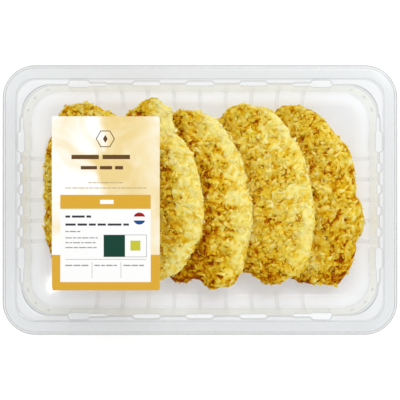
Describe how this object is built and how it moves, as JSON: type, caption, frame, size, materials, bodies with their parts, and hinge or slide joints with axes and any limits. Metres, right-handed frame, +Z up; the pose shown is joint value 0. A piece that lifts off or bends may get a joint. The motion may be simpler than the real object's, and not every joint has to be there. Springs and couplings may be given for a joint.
{
  "type": "sealed tray of crumbed schnitzels",
  "caption": "Clear ribbed food tray with a flat sealed film, a blank-print label, and flaky crumbed chicken schnitzels lying shingled inside.",
  "frame": {"origin": "middle of the tray's underside, on the surface it stands on", "axes": "+X along the tray away from the label end, +Y across the tray, +Z up through the film"},
  "size_m": [0.262, 0.179, 0.045],
  "materials": {
    "clear_tray_sheet": "clear thermoformed sheet, glossy, faintly grey at its bends",
    "lidding_film": "clear thin film, glossy, stretched flat",
    "label_paper": "coated paper, satin, printed in cream, white and gold",
    "crumb_crust": "flaky fried crumb, golden yellow, matte with small oily glints"
  },
  "bodies": {
    "root": {"tray": "clear_tray_sheet", "film": "lidding_film", "label": "label_paper", "schnitzel_1": "crumb_crust", "schnitzel_2": "crumb_crust", "schnitzel_3": "crumb_crust", "schnitzel_4": "crumb_crust", "schnitzel_5": "crumb_crust"}
  },
  "joints": []
}
